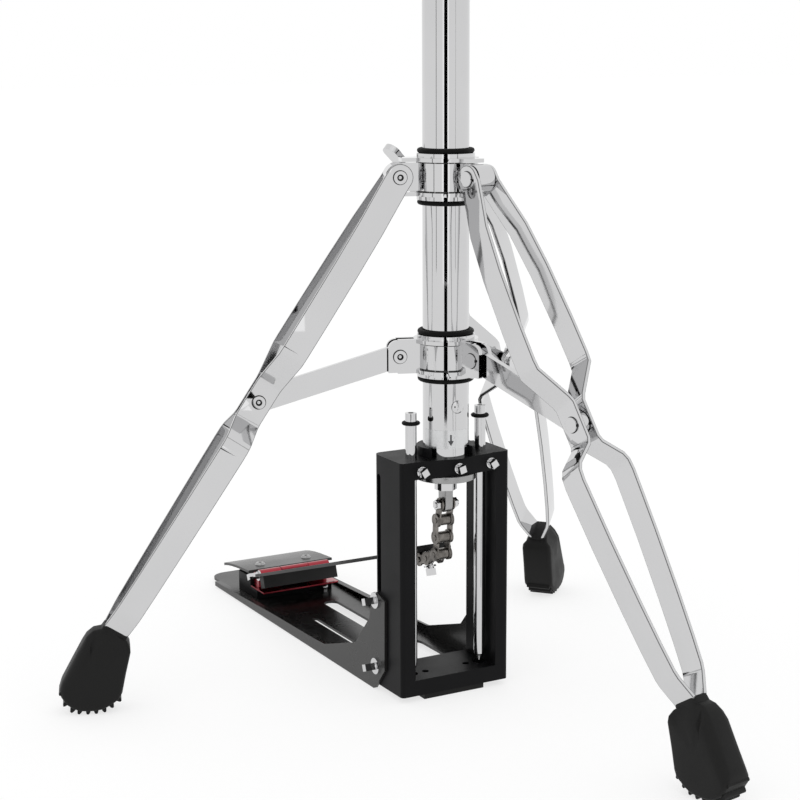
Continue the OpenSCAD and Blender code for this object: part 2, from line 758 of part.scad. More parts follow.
// Outline of a rubber foot in the plane of its leg: [radius, height].
foot_outline = [
    [244.4, 58.4], [249.5, 54.6], [267.6, 22.6], [269.6, 15.2], [266.8, 7], [261.6, 2.2], [256, 0.5],
    [250, 0], [244.4, 0.2], [238.5, 1], [233, 3.6], [227.4, 7.8], [219.1, 42.6], [219.8, 47.2],
    [221.8, 51.4], [232, 58], [240.6, 59.2]
];
foot_half = 12;

// Rubber foot: an extruded outline, hollowed where the two bars enter it.
module foot(i) color("Black") difference() {
    at_leg(i) rotate([90, 0, 0]) translate([0, 0, -foot_half]) linear_extrude(2 * foot_half)
        polygon(foot_outline);
    on_leg(i) for (s = [0, 1]) mirror([0, s, 0])
        translate([0, 0, -leg_bar_w / 2]) linear_extrude(leg_bar_w)
            polygon(strip(leg_line, leg_bar_t));
}

// ---------- braces ----------

module brace(i) color("Gainsboro") on_brace(i) {
    difference() {
        union() {
            translate([0, -brace_t / 2, -brace_w / 2]) cube([brace_length, brace_t, brace_w]);
            rod_y(brace_w, -brace_t / 2, brace_t / 2);
            translate([brace_length, 0, 0]) rod_y(brace_w, -brace_t / 2, brace_t / 2);
        }
        rod_y(rivet_d + 2 * run_gap, -10, 10);
    }
    translate([brace_length, 0, 0]) rod_y(rivet_d, -brace_t / 2 - 0.25, brace_t / 2 + 0.25);
}

module brace_rivets() color("Silver") for (i = [0:2]) at_leg(i)
    translate([pivot_r, 0, brace_pivot_z]) {
        face = ear_inner + ear_t;
        rod_y(rivet_d, -face - eps, face + eps - 2);
        rolled_end(face);
        rod_y(10, -face - 1.3, -face);
    }

// ---------- upper tube, seat and clutch ----------

module upper_tube() color("Gainsboro") pipe(upper_tube_d, upper_tube_d - 2.8, 440, upper_tube_top);

module seat_base() color("Gainsboro") difference() {
    union() {
        rod(29, seat_z - 42, seat_z - 8);
        rod(48, seat_z - 8, seat_z - 3);
        rod(17, seat_z - 8, seat_z - 1.2);
    }
    rod(upper_tube_d, seat_z - 43, upper_tube_top);
    rod(rod_d + 2.6, seat_z - 43, seat_z + 5);
    translate([0, -tilt_screw_y, 0]) rod(5 + 2 * run_gap, seat_z - 20, seat_z);
}

module seat_screw() color("Silver") translate([0, -tilt_screw_y, 0]) {
    rod(5, seat_z - 12, seat_z - 0.4);
    rod(9, seat_z - 16.4, seat_z - 11);
    rod(5, seat_z - 18, seat_z - 16.4 + eps);
}

// The cup rocks about a bar on its +Y side when the screw under -Y is raised.
module seat_cup() color("DimGray") difference() {
    union() {
        rod(48, seat_z, seat_z + 3.4);
        rod(18, seat_z, seat_z + 7);
        translate([0, 20, seat_z - 0.6]) rod_x(4, -8, 8);
    }
    rod(rod_d + 6, seat_z - 5, seat_z + 20);
}

module seat_felt() color("DarkSlateGray") pipe(40, 18, seat_z + 3.4, seat_z + 15);

module clutch_sleeve() color("Silver") difference() {
    union() {
        rod(12.6, clutch_z, clutch_z + 56);
        rod(20, clutch_z + 50, clutch_z + 72);
        translate([0, 0, clutch_z + 61]) rod_x(12, 0, 15);
    }
    rod(rod_d + 2 * run_gap, clutch_z - 1, clutch_z + 80);
    translate([0, 0, clutch_z + 61]) rod_x(6 + 2 * run_gap, 0, 20);
}

module clutch_nuts() color("Silver") for (nut = [[2, 8], [34, 5], [40, 5]]) difference() {
    translate([0, 0, clutch_z + nut[0]]) cylinder(d = 22, h = nut[1]);
    rod(12.6, clutch_z - 1, clutch_z + 60);
}

module clutch_felts() color("Tan") {
    pipe(30, 12.6, clutch_z + 10, clutch_z + 19);
    pipe(30, 12.6, clutch_z + 24, clutch_z + 34);
}

module clutch_screw() color("Silver") translate([18, 0, clutch_z + 61]) rotate([90, 0, 0])
    wing_bolt(6, 18 - rod_d / 2 - 0.1, 18);

// ---------- spur rods ----------

module spur_rod(s) color("Silver") translate([s * spur_x, 0, 0]) difference() {
    union() {
        rod(spur_d, 22, 202);
        translate([0, 0, 16.5]) cylinder(d1 = 1, d2 = spur_d, h = 5.5 + eps);
    }
    rod(4, 198, 203);
}

module spur_o_ring(s) color("Black") translate([s * spur_x, 0, 0]) o_ring(spur_d / 2, 2.3, 195);

pedal_frame();
base_plate();
floor_pads();
gusset_screws();
frame_screws();
base_tube();
tube_flange();
plate_stud();
heel_block();
heel_plate();
heel_screws();
hinge_base();
hinge_pin();
height_bush();
height_clamp();
clamp_wing_bolt();
spring_seat();
return_spring();
lower_collar();
lower_o_rings();
upper_collar();
upper_o_rings();
collar_wing_bolt();
leg_bars(0);  // leg_bars_1
leg_bars(1);  // leg_bars_2
leg_bars(2);  // leg_bars_3
leg_rivets(0);  // leg_rivets_1
leg_rivets(1);  // leg_rivets_2
leg_rivets(2);  // leg_rivets_3
foot(0);  // foot_1
foot(1);  // foot_2
foot(2);  // foot_3
brace(0);  // brace_1
brace(1);  // brace_2
brace(2);  // brace_3
brace_rivets();
footboard();
board_hinge();
toe_bolt();
chain_toe_link();
chain_links();
rod_tongue();
tongue_bolt();
lower_pull_rod();
spring_cap();
rod_coupler();
upper_pull_rod();
upper_tube();
seat_base();
seat_screw();
seat_cup();
seat_felt();
clutch_sleeve();
clutch_nuts();
clutch_felts();
clutch_screw();
spur_rod(1);  // spur_rod_left
spur_rod(-1);  // spur_rod_right
spur_o_ring(1);  // spur_o_ring_left
spur_o_ring(-1);  // spur_o_ring_right
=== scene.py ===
"""Looks for the hi-hat stand: materials, finer pieces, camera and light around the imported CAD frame."""

import json
import math

import bmesh
import bpy
from mathutils import Matrix, Vector


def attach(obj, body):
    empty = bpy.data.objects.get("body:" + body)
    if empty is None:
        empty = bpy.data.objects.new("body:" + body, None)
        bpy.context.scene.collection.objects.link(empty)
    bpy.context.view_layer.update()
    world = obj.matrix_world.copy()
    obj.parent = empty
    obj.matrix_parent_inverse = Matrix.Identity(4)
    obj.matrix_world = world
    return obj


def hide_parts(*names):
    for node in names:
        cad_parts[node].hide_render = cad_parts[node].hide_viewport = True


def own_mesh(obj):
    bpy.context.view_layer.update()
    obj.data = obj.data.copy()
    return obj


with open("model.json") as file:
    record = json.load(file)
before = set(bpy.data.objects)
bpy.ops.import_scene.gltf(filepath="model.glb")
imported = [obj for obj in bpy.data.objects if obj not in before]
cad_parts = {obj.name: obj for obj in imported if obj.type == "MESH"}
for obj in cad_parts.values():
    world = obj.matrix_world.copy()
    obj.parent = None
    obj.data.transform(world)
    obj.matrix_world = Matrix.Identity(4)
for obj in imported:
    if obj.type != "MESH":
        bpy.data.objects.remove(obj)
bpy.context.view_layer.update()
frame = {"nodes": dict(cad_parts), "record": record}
nodes = frame["nodes"]
scene = bpy.context.scene

MM = 0.001

# ---------------------------------------------------------------- camera
CAMERA_AZIMUTH = 149.64     # degrees round the stand from the heel side
CAMERA_DISTANCE = 1.241     # metres from the tube's axis, along the floor
CAMERA_HEIGHT = 0.4542
CAMERA_PITCH = 11.21        # degrees down
CAMERA_YAW = 1.45           # degrees past the axis
CAMERA_ROLL = -0.27
CAMERA_LENS = 82.85
SENSOR_WIDTH = 36


def add_camera():
    azimuth = math.radians(CAMERA_AZIMUTH)
    heading = azimuth + math.radians(CAMERA_YAW)
    pitch = math.radians(CAMERA_PITCH)
    roll = math.radians(CAMERA_ROLL)
    level = math.cos(pitch)
    forward = Vector((-math.sin(heading) * level, math.cos(heading) * level, -math.sin(pitch)))
    right = Vector((math.cos(heading), math.sin(heading), 0))
    up = right.cross(forward)
    right, up = right * math.cos(roll) + up * math.sin(roll), up * math.cos(roll) - right * math.sin(roll)
    place = Matrix((right, up, -forward)).transposed().to_4x4()
    place.translation = (CAMERA_DISTANCE * math.sin(azimuth), -CAMERA_DISTANCE * math.cos(azimuth),
                         CAMERA_HEIGHT)
    data = bpy.data.cameras.new("camera")
    data.lens = CAMERA_LENS
    data.sensor_width = SENSOR_WIDTH
    data.clip_start = 0.01
    camera = bpy.data.objects.new("camera", data)
    camera.matrix_world = place
    scene.collection.objects.link(camera)
    scene.camera = camera


# ---------------------------------------------------------------- materials
def new_material(name):
    material = bpy.data.materials.new(name)
    material.use_nodes = True
    return material, material.node_tree.nodes, material.node_tree.links


def noise(tree, links, scale, detail=3.0, stretch=(1, 1, 1)):
    """A noise texture in the object's own coordinates; scale is in features per metre."""
    coords = tree.new("ShaderNodeTexCoord")
    mapping = tree.new("ShaderNodeMapping")
    mapping.inputs["Scale"].default_value = stretch
    texture = tree.new("ShaderNodeTexNoise")
    texture.inputs["Scale"].default_value = scale
    texture.inputs["Detail"].default_value = detail
    links.new(coords.outputs["Object"], mapping.inputs["Vector"])
    links.new(mapping.outputs["Vector"], texture.inputs["Vector"])
    return texture


def vary(tree, links, texture, low, high, start=0.3, end=0.7):
    """A value that runs from low to high as the texture runs from start to end."""
    ramp = tree.new("ShaderNodeMapRange")
    for name, value in (("From Min", start), ("From Max", end), ("To Min", low), ("To Max", high)):
        ramp.inputs[name].default_value = value
    links.new(texture.outputs["Fac"], ramp.inputs["Value"])
    return ramp.outputs["Result"]


def tint(tree, links, texture, colour, change):
    """A colour that varies between colour and change times colour with the texture."""
    ramp = tree.new("ShaderNodeValToRGB")
    ramp.color_ramp.elements[0].position = 0.3
    ramp.color_ramp.elements[1].position = 0.7
    ramp.color_ramp.elements[0].color = (*colour, 1)
    ramp.color_ramp.elements[1].color = (*[c * change for c in colour], 1)
    links.new(texture.outputs["Fac"], ramp.inputs["Fac"])
    return ramp.outputs["Color"]


def surface(name, colour, metallic=0.0, roughness=(0.3, 0.4), patch=25.0, change=0.9, grain=0.0,
            grain_height=0.0, stretch=(1, 1, 1), coat=0.0, specular=0.5):
    """A surface with patchy colour and roughness, and a fine grain in its relief."""
    material, tree, links = new_material(name)
    shader = tree["Principled BSDF"]
    shader.inputs["Metallic"].default_value = metallic
    shader.inputs["Coat Weight"].default_value = coat
    shader.inputs["Coat Roughness"].default_value = 0.15
    shader.inputs["Specular IOR Level"].default_value = specular
    patches = noise(tree, links, patch, 4.0)
    links.new(tint(tree, links, patches, colour, change), shader.inputs["Base Color"])
    links.new(vary(tree, links, patches, *roughness), shader.inputs["Roughness"])
    if grain:
        fine = noise(tree, links, grain, 2.0, stretch)
        bump = tree.new("ShaderNodeBump")
        bump.inputs["Strength"].default_value = 1.0
        bump.inputs["Distance"].default_value = grain_height
        links.new(fine.outputs["Fac"], bump.inputs["Height"])
        links.new(bump.outputs["Normal"], shader.inputs["Normal"])
    return material


MATERIALS = {
    "chrome": surface("chrome", (0.61, 0.61, 0.615), 1.0, (0.02, 0.06), 18, 0.97),
    "satin_black": surface("satin black powder coat", (0.0045, 0.0045, 0.005), 0.0, (0.34, 0.44), 30, 1.25,
                           grain=1400, grain_height=0.00005, specular=0.09),
    "dark_steel": surface("dark grey coated steel", (0.012, 0.0118, 0.0115), 0.0, (0.2, 0.3), 22, 1.25,
                          grain=900, grain_height=0.00002, specular=0.38),
    "rubber": surface("black rubber", (0.005, 0.005, 0.0048), 0.0, (0.45, 0.6), 60, 1.3,
                      grain=1100, grain_height=0.00007, specular=0.2),
    "red_anodised": surface("red anodised aluminium", (0.36, 0.012, 0.028), 1.0, (0.24, 0.34), 40, 0.85,
                            grain=1500, grain_height=0.00001, coat=0.8),
    "nylon": surface("white nylon", (0.75, 0.74, 0.70), 0.0, (0.4, 0.5), 60, 0.95),
    "spring_steel": surface("zinc-plated steel", (0.42, 0.42, 0.41), 1.0, (0.25, 0.35), 60, 0.85),
    "board_aluminium": surface("dark cast aluminium", (0.009, 0.009, 0.009), 0.0, (0.3, 0.42), 30, 1.25,
                               grain=1000, grain_height=0.00004, specular=0.3),
    "chain_steel": surface("chain steel", (0.22, 0.205, 0.19), 1.0, (0.22, 0.4), 250, 0.5),
    "seat_plastic": surface("black plastic", (0.012, 0.012, 0.012), 0.0, (0.35, 0.45), 40, 1.2,
                            grain=900, grain_height=0.00003),
    "felt": surface("wool felt", (0.20, 0.195, 0.185), 0.0, (0.85, 0.95), 500, 0.7,
                    grain=2500, grain_height=0.0003),
}
SATIN_CHROME = surface("satin chrome", (0.36, 0.36, 0.36), 1.0, (0.22, 0.32), 60, 0.9)
# Painted shade: a darker copy of chrome for the rounded edges, standing in for the dark lines their
# reflections show.
EDGE_SHADE_CHROME = surface("chrome edge with painted shade", (0.17, 0.17, 0.172), 1.0, (0.08, 0.14), 40, 1.15)
O_RING = surface("soft black rubber", (0.003, 0.003, 0.003), 0.0, (0.5, 0.65), 90, 1.3, specular=0.1)
# Painted shade: a near-black material for the rings and lines where shade falls round rivet heads and along
# the collars' flange plates.
PAINTED_SHADE = surface("dark gap", (0.03, 0.03, 0.03), 0.6, (0.3, 0.4), 300, 1.2)
STICKER = surface("frosted label film", (0.64, 0.645, 0.65), 0.8, (0.2, 0.28), 200, 0.97)
STICKER_PRINT = surface("label print", (0.05, 0.05, 0.055), 0.0, (0.5, 0.6), 200, 1.2)

DRESSED = {
    "tube_flange": SATIN_CHROME, "rod_tongue": SATIN_CHROME, "heel_screws": SATIN_CHROME,
    "lower_o_rings": O_RING, "upper_o_rings": O_RING, "spur_o_ring_left": O_RING, "spur_o_ring_right": O_RING,
}


def paint_nodes():
    slots = {s["node"]: s["material_slot"] for s in frame["record"]["subparts"]}
    for name, node in nodes.items():
        node.data.materials.clear()
        node.data.materials.append(DRESSED.get(name, MATERIALS[slots[name]]))


# ---------------------------------------------------------------- edges
def soften(node, width, segments=2, angle=35):
    """Rounds a CAD node's sharp edges a little, inside its own outline."""
    weld = node.modifiers.new("weld", "WELD")
    weld.merge_threshold = 2e-6
    bevel = node.modifiers.new("edge", "BEVEL")
    bevel.width = width
    bevel.segments = segments
    bevel.limit_method = "ANGLE"
    bevel.angle_limit = math.radians(angle)
    bevel.use_clamp_overlap = True
    normals = node.modifiers.new("normals", "WEIGHTED_NORMAL")
    normals.mode = "FACE_AREA_WITH_ANGLE"
    normals.weight = 90


EDGES = {
    "pedal_frame": 1.0, "heel_block": 0.8, "footboard": 0.35, "base_plate": 0.4, "heel_plate": 0.5,
    "lower_collar": 0.5, "upper_collar": 0.5, "height_clamp": 0.6, "collar_wing_bolt": 0.9,
    "clamp_wing_bolt": 0.9, "clutch_screw": 0.9, "tube_flange": 0.5, "chain_links": 0.25,
    "chain_toe_link": 0.25, "tongue_bolt": 0.4, "rod_tongue": 0.4, "toe_bolt": 0.4, "frame_screws": 0.3,
    "gusset_screws": 0.4, "hinge_pin": 0.3, "hinge_base": 0.3, "board_hinge": 0.3, "seat_cup": 0.8,
    "seat_felt": 1.2, "clutch_felts": 1.2, "clutch_nuts": 0.5, "seat_base": 0.5,
}
for number in (1, 2, 3):
    EDGES["leg_bars_%d" % number] = 0.45
    EDGES["leg_rivets_%d" % number] = 0.35
    EDGES["brace_%d" % number] = 0.4
EDGES["brace_rivets"] = 0.35


# Parts whose rounded edges get the darker chrome as painted shade.
SHADE_PAINTED_EDGED = ("leg_", "brace", "lower_collar", "upper_collar", "collar_wing", "clamp_wing", "height_clamp",
              "frame_screws", "gusset_screws", "toe_bolt", "tongue_bolt", "hinge_pin", "seat_base")


def soften_nodes():
    for name, width in EDGES.items():
        node = nodes[name]
        soften(node, width * MM)
        if name.startswith(SHADE_PAINTED_EDGED):
            # Painted shade: the bevel faces take the darker chrome.
            node.data.materials.append(EDGE_SHADE_CHROME)
            node.modifiers["edge"].material = 1


# ---------------------------------------------------------------- rubber feet
LEG_AXES = [math.radians(-19.8 + 120 * i) for i in range(3)]
LEG_LEAN = math.radians(32.85)
LEG_PIVOT = (32.5, 361.5)

# Outline of a foot in the plane of its leg, in millimetres: radius, height, half its thickness, edge radius.
FOOT_RINGS = [
    (244.4, 58.3, 6.4, 2.0), (249.2, 54.4, 9.0, 4.0), (252.4, 49.5, 11.8, 6.5), (260.0, 36.0, 12.0, 7.0),
    (267.0, 23.2, 12.0, 6.5), (268.6, 18.0, 12.0, 5.0), (267.6, 13.4, 12.0, 3.0), (264.2, 8.2, 12.0, 2.4),
    (259.6, 4.8, 12.0, 2.0), (255.0, 3.2, 12.0, 2.0), (250.0, 2.6, 12.0, 2.0), (244.8, 2.7, 12.0, 2.0),
    (239.6, 3.5, 12.0, 2.0), (234.6, 6.0, 12.0, 2.2), (228.8, 9.8, 12.0, 2.4), (226.4, 14.2, 12.0, 3.0),
    (223.4, 28.0, 12.0, 3.2), (219.9, 42.4, 12.0, 3.2), (220.3, 46.6, 11.6, 3.0), (222.0, 50.2, 9.0, 2.4),
    (231.6, 57.2, 6.4, 2.0), (238.4, 59.2, 6.4, 2.0),
]
FOOT_TEETH = [
    (269.0, 15.3), (266.5, 7.3), (261.6, 2.3), (256.4, 0.7), (250.2, 0.1), (244.4, 0.2), (238.5, 1.0),
    (233.0, 3.9), (227.6, 8.2),
]


# Section of one tooth: millimetres along the outline from its tip, and into the foot.
TOOTH = [(0.6, 0.0), (-0.6, 0.0), (-1.2, 0.9), (-1.9, 3.4), (1.9, 3.4), (1.2, 0.9)]
TOOTH_HALF_WIDTH = 9.5
TEETH_CENTRE = Vector((246, 26))
FOOT_MIDDLE = (243, 28)
FOOT_HALF_THICKNESS = 12
FOOT_EDGE_STEPS = 5


def on_leg_plane(angle, r, z, t):
    """The point at radius r and height z in a leg's plane, t millimetres to its side."""
    c, d = math.cos(angle), math.sin(angle)
    return Vector((r * c - t * d, r * d + t * c, z)) * MM


def inward(points, i):
    """Unit direction into the outline at its i-th point; the outline runs clockwise seen from +t."""
    before, after = Vector(points[i - 1][:2]), Vector(points[(i + 1) % len(points)][:2])
    along = (after - before).normalized()
    return Vector((along.y, -along.x)) * FOOT_TURN


def area(points):
    return sum(a[0] * b[1] - b[0] * a[1] for a, b in zip(points, points[1:] + points[:1])) / 2


FOOT_TURN = 1 if area(FOOT_RINGS) < 0 else -1


def foot_body(mesh, angle):
    """The foot's rim, rounded over to both flanks, and the two flanks."""
    steps = FOOT_EDGE_STEPS
    rows = []
    for side in (1, -1):
        for k in range(steps + 1):
            turn = math.pi / 2 * (k if side == 1 else steps - k) / steps
            row = []
            for i, (r, z, half, edge) in enumerate(FOOT_RINGS):
                into = inward(FOOT_RINGS, i) * edge * (1 - math.sin(turn))
                t = side * (half - edge + edge * math.cos(turn))
                row.append(mesh.verts.new(on_leg_plane(angle, r + into.x, z + into.y, t)))
            rows.append(row)
    n = len(FOOT_RINGS)
    for a, b in zip(rows, rows[1:]):
        for i in range(n):
            mesh.faces.new((a[i], a[(i + 1) % n], b[(i + 1) % n], b[i]))
    middle_r, middle_z = FOOT_MIDDLE
    for row, side in ((rows[0], 1), (rows[-1], -1)):
        inner = []
        for i, (r, z, half, edge) in enumerate(FOOT_RINGS):
            towards = Vector((middle_r - r, middle_z - z)).normalized() * (edge + 8)
            inner.append(mesh.verts.new(on_leg_plane(angle, r + towards.x, z + towards.y,
                                                     side * FOOT_HALF_THICKNESS)))
        middle = mesh.verts.new(on_leg_plane(angle, middle_r, middle_z, side * FOOT_HALF_THICKNESS))
        for i in range(n):
            k = (i + 1) % n
            mesh.faces.new((row[i], row[k], inner[k], inner[i]))
            mesh.faces.new((inner[i], inner[k], middle))


def foot_teeth(mesh, angle):
    """The row of teeth round the sole; none reaches below the floor."""
    for i, tip in enumerate(FOOT_TEETH):
        tip = Vector(tip)
        near = Vector(FOOT_TEETH[i - 1] if i else FOOT_TEETH[1])
        along = (near - tip).normalized()
        into = (TEETH_CENTRE - tip).normalized()
        corners = [tip + along * side + into * depth for side, depth in TOOTH]
        for corner in corners:
            corner.y = max(corner.y, 0.05)
        ends = [[mesh.verts.new(on_leg_plane(angle, c.x, c.y, t)) for c in corners]
                for t in (-TOOTH_HALF_WIDTH, TOOTH_HALF_WIDTH)]
        mesh.faces.new(ends[0])
        mesh.faces.new(ends[1])
        for j in range(6):
            k = (j + 1) % 6
            mesh.faces.new((ends[0][j], ends[0][k], ends[1][k], ends[1][j]))


# Rows of the socket: distance down the leg, half its width and half its thickness.
SOCKET_ROWS = [(361.6, 8.6, 5.6), (362.1, 9.3, 6.4), (367.0, 9.7, 7.0), (374.0, 9.7, 7.0)]
SOCKET_POINTS = 32
SOCKET_SQUARENESS = 0.28


def foot_socket(mesh, angle):
    """The sleeve that stands out of the foot's top round both bars of the leg."""
    down = Vector((math.sin(LEG_LEAN), -math.cos(LEG_LEAN)))
    out = Vector((math.cos(LEG_LEAN), math.sin(LEG_LEAN)))
    rows = []
    for s, width, half in SOCKET_ROWS:
        row = []
        for k in range(SOCKET_POINTS):
            turn = 2 * math.pi * (k + 0.5) / SOCKET_POINTS
            c, d = math.cos(turn), math.sin(turn)
            u = math.copysign(abs(c) ** SOCKET_SQUARENESS, c) * width
            t = math.copysign(abs(d) ** SOCKET_SQUARENESS, d) * half
            centre = Vector(LEG_PIVOT) + down * s + out * u
            row.append(mesh.verts.new(on_leg_plane(angle, centre.x, centre.y, t)))
        rows.append(row)
    for a, b in zip(rows, rows[1:]):
        for i in range(SOCKET_POINTS):
            k = (i + 1) % SOCKET_POINTS
            mesh.faces.new((a[i], a[k], b[k], b[i]))
    mesh.faces.new(rows[0])


def add_feet():
    for number, angle in enumerate(LEG_AXES, 1):
        mesh = bmesh.new()
        foot_body(mesh, angle)
        foot_teeth(mesh, angle)
        foot_socket(mesh, angle)
        bmesh.ops.recalc_face_normals(mesh, faces=mesh.faces)
        foot = as_object("rubber_foot_%d" % number, mesh, MATERIALS["rubber"], 40)
        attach(foot, "leg_%d" % number)
        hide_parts("foot_%d" % number)


def as_object(name, mesh, material, smooth_angle):
    data = bpy.data.meshes.new(name)
    mesh.to_mesh(data)
    mesh.free()
    data.materials.append(material)
    data.shade_smooth()
    data.set_sharp_from_angle(angle=math.radians(smooth_angle))
    obj = bpy.data.objects.new(name, data)
    scene.collection.objects.link(obj)
    return obj


# ---------------------------------------------------------------- rivets
# Profiles of the painted shade rings and cup, and of the stem, on a rivet's two ends: radius, and height over
# the bar's face.
ROLLED_SHADE_RING = [(4.3, 0.0), (4.3, 0.12), (4.95, 0.12), (4.95, 0.0)]
ROLLED_SHADE_CUP = [(2.15, -0.95), (2.15, 0.9), (1.9, 0.9), (1.9, -0.95), (0.0, -0.95)]
ROLLED_STEM = [(1.5, -0.9), (1.5, 0.2), (1.2, 0.6), (0.6, 0.85), (0.0, 0.9)]
FLAT_SHADE_RING = [(4.9, 0.0), (4.9, 0.12), (5.45, 0.12), (5.45, 0.0)]
LOWER_PIVOT = 177.7                           # millimetres down the leg
BRACE_PIVOT = (32.5, 240.3)
TOP_FACE, LOWER_FACE, BRACE_EAR_FACE = 9.7, 5.5, 5.7   # half the width over the bars or ears


def ring_points(mesh, centre, axis, radius, count=28):
    side = axis.orthogonal().normalized()
    other = axis.cross(side)
    return [mesh.verts.new(centre + (side * math.cos(2 * math.pi * k / count)
                                     + other * math.sin(2 * math.pi * k / count)) * radius * MM)
            for k in range(count)]


def lathe(mesh, centre, axis, profile):
    """Turns a profile of (radius, height) in millimetres about an axis."""
    rings = [ring_points(mesh, centre + axis * h * MM, axis, max(r, 0.02)) for r, h in profile]
    for a, b in zip(rings, rings[1:]):
        for i in range(len(a)):
            k = (i + 1) % len(a)
            mesh.faces.new((a[i], a[k], b[k], b[i]))


def leg_point(angle, s):
    """A point of the leg's middle line, s millimetres down from its top pivot."""
    r = LEG_PIVOT[0] + s * math.sin(LEG_LEAN)
    return on_leg_plane(angle, r, LEG_PIVOT[1] - s * math.cos(LEG_LEAN), 0)


def add_rivets():
    """Painted shade as dark rings round every rivet head and a dark cup in each rolled end's recess, and the
    stem's bright end inside each rolled one.
    """
    for number, angle in enumerate(LEG_AXES, 1):
        across = Vector((-math.sin(angle), math.cos(angle), 0))
        spots = [(leg_point(angle, 0), TOP_FACE, "leg_%d" % number),
                 (leg_point(angle, LOWER_PIVOT), LOWER_FACE, "leg_%d" % number),
                 (on_leg_plane(angle, *BRACE_PIVOT, 0), BRACE_EAR_FACE, "tripod")]
        for index, (centre, face, body) in enumerate(spots):
            gaps, stems = bmesh.new(), bmesh.new()
            rolled = centre + across * face * MM
            # Painted shade: a dark ring round each head and a dark cup in the rolled end's recess.
            lathe(gaps, rolled, across, ROLLED_SHADE_RING)
            lathe(gaps, rolled, across, ROLLED_SHADE_CUP)
            lathe(stems, rolled, across, ROLLED_STEM)
            flat = centre - across * face * MM
            lathe(gaps, flat, -across, FLAT_SHADE_RING)
            for kind, mesh, material in (("gap", gaps, PAINTED_SHADE), ("stem", stems, MATERIALS["chrome"])):
                bmesh.ops.recalc_face_normals(mesh, faces=mesh.faces)
                piece = as_object("rivet_%s_%d_%d" % (kind, number, index), mesh, material, 35)
                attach(piece, body)


# ---------------------------------------------------------------- painted shade lines of the collars
COLLAR_RADIUS = 19.7
COLLARS = {"upper": (361.5, 15.5, "slider"), "lower": (240.3, 14.5, "tripod")}   # middle, half height, body
SHADE_LINE_INSET, SHADE_LINE_HEIGHT = 5.4, 0.9     # from the collar's end to the painted shade line, and the line's own height
SHADE_LINE_DEPTH, SHADE_LINE_RISE = 0.1, 0.12      # into the collar, and proud of it


def add_collar_shade_lines():
    """Painted shade: a dark line where each flange plate meets its collar."""
    for name, (middle, half, body) in COLLARS.items():
        mesh = bmesh.new()
        inner, outer = COLLAR_RADIUS - SHADE_LINE_DEPTH, COLLAR_RADIUS + SHADE_LINE_RISE
        near, far = half - SHADE_LINE_INSET, half - SHADE_LINE_INSET - SHADE_LINE_HEIGHT
        for low, high in ((far, near), (-near, -far)):
            lathe(mesh, Vector((0, 0, middle * MM)), Vector((0, 0, 1)),
                  [(inner, low), (outer, low), (outer, high), (inner, high)])
        bmesh.ops.recalc_face_normals(mesh, faces=mesh.faces)
        shade_line = as_object("collar_shade_line_" + name, mesh, PAINTED_SHADE, 35)
        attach(shade_line, body)


# ---------------------------------------------------------------- return spring
SPRING_FOOT, SPRING_HEAD = 212.0, 300.0   # the seat's face and the cap's face, in millimetres
SPRING_TURNS, SPRING_RADIUS, SPRING_WIRE = 11, 9.5, 2.4
SPRING_GAP = 0.05                         # between the coil and the faces it stands on
SPRING_CLOSED = 0.75                      # flat turns at either end


def add_return_spring():
    """The coil spring, standing between the seat's face and the cap's face."""
    mesh = bmesh.new()
    steps, sides, wire = SPRING_TURNS * 24, 10, SPRING_WIRE / 2
    low, high = SPRING_FOOT + wire + SPRING_GAP, SPRING_HEAD - wire - SPRING_GAP
    rings = []
    for k in range(steps + 1):
        turn = k / steps * SPRING_TURNS
        climbed = (turn - SPRING_CLOSED) / (SPRING_TURNS - 2 * SPRING_CLOSED)
        z = low + (high - low) * min(1.0, max(0.0, climbed))
        across = Vector((math.cos(2 * math.pi * turn), math.sin(2 * math.pi * turn), 0))
        middle = across * SPRING_RADIUS + Vector((0, 0, z))
        rings.append([mesh.verts.new((middle + across * wire * math.cos(2 * math.pi * j / sides)
                                      + Vector((0, 0, wire * math.sin(2 * math.pi * j / sides)))) * MM)
                      for j in range(sides)])
    for a, b in zip(rings, rings[1:]):
        for j in range(sides):
            n = (j + 1) % sides
            mesh.faces.new((a[j], a[n], b[n], b[j]))
    mesh.faces.new(rings[0])
    mesh.faces.new(reversed(rings[-1]))
    bmesh.ops.recalc_face_normals(mesh, faces=mesh.faces)
    coil = as_object("return_coil", mesh, MATERIALS["spring_steel"], 60)
    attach(coil, "base")
    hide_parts("return_spring")
    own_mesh(coil)


# ---------------------------------------------------------------- label on the tube
LABEL_AZIMUTH = 149.64                  # degrees round the tube
LABEL_LOW, LABEL_HIGH = 177, 190        # heights in millimetres
LABEL_SPREAD = range(-62, 63, 4)
LABEL_RADIUS, ARROW_RADIUS = 15.93, 15.97   # just proud of the tube, and of the label
ARROW_AZIMUTH = LABEL_AZIMUTH + 13
ARROW_TIP, ARROW_BARB, ARROW_TOP = 179.2, 182.7, 187.0
ARROW_HEAD_SPREAD = (-7.5, -5, -2.5, 0, 2.5, 5, 7.5)
ARROW_HEAD_SLOPE = 0.46                 # millimetres up per degree from the tip


def tube_patch(mesh, outline, radius):
    """A patch of the tube's surface; the outline is in degrees round the tube and millimetres of height."""
    rows = []
    for angle, low, high in outline:
        a = math.radians(angle)
        foot = Vector((math.sin(a), -math.cos(a), 0)) * radius * MM
        rows.append([mesh.verts.new(foot + Vector((0, 0, z * MM))) for z in (low, high)])
    for a, b in zip(rows, rows[1:]):
        mesh.faces.new((a[0], b[0], b[1], a[1]))


